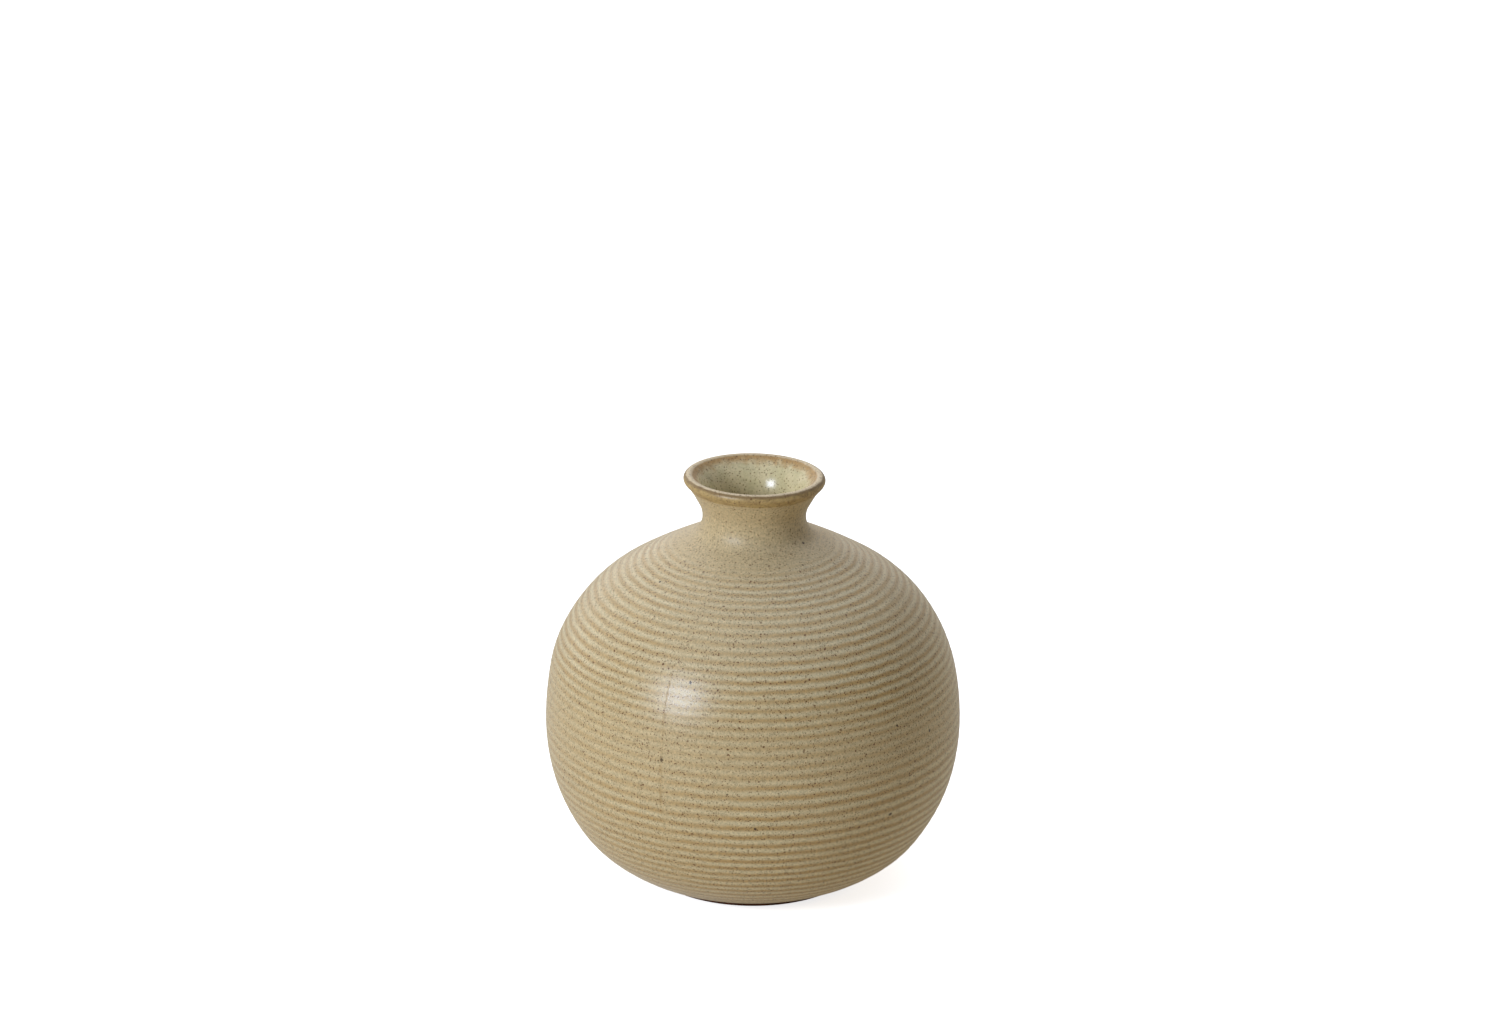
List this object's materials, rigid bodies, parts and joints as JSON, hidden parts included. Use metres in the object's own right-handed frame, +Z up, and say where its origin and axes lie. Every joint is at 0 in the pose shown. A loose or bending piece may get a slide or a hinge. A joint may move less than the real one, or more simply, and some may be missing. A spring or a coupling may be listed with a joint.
{
  "type": "stoneware vase",
  "caption": "Ribbed stoneware globe vase with a short flared neck, a rolled lip and a speckled glaze, for holding stems.",
  "frame": {"origin": "centre of the foot ring, on the plane that the vase stands on", "axes": "+Z up along the axis of symmetry of the pot; -Y is the side that faces the viewer"},
  "size_m": [0.16, 0.16, 0.1617],
  "materials": {
    "stoneware_clay": "fired iron-bearing stoneware, hidden under the glaze",
    "bare_foot": "unglazed, toasted dark red-brown, matt",
    "celadon_glaze": "satin speckled celadon that breaks brown on the rib crests",
    "liner_glaze": "glossy pale celadon with iron specks",
    "lip_glaze": "thin glaze that breaks iron brown on the lip"
  },
  "bodies": {
    "root": {"left_half_shell": "stoneware_clay", "right_half_shell": "stoneware_clay", "floor_disc": "stoneware_clay", "foot_ring": "bare_foot", "neck_collar": "stoneware_clay", "lip_ring": "stoneware_clay", "outer_glaze": "celadon_glaze", "liner_glaze": "liner_glaze", "lip_glaze": "lip_glaze"}
  },
  "joints": []
}
